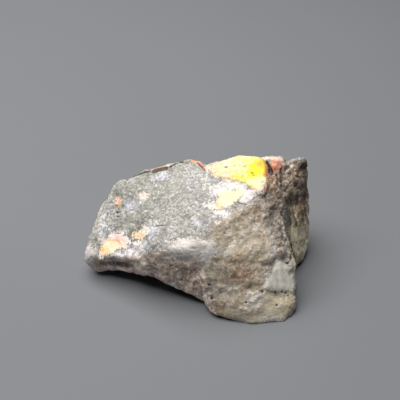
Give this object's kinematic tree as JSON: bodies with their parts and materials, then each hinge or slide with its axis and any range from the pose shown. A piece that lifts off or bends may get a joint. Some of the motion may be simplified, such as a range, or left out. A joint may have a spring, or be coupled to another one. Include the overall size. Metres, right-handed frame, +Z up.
{
  "type": "rough mineral specimen",
  "caption": "Rough, broken lump of pale grey-brown rock with patches of bright fluorescent yellow and orange mineral; rests on a flat underside.",
  "frame": {"origin": "on the surface that the stone stands on, under the middle of its box", "axes": "+X along the stone's length to its high right end, +Y to its broken back, +Z up"},
  "size_m": [0.0776, 0.0532, 0.039],
  "materials": {
    "rock": "dull, sugary broken surface"
  },
  "bodies": {
    "root": {"rough_stone": "rock"}
  },
  "joints": []
}
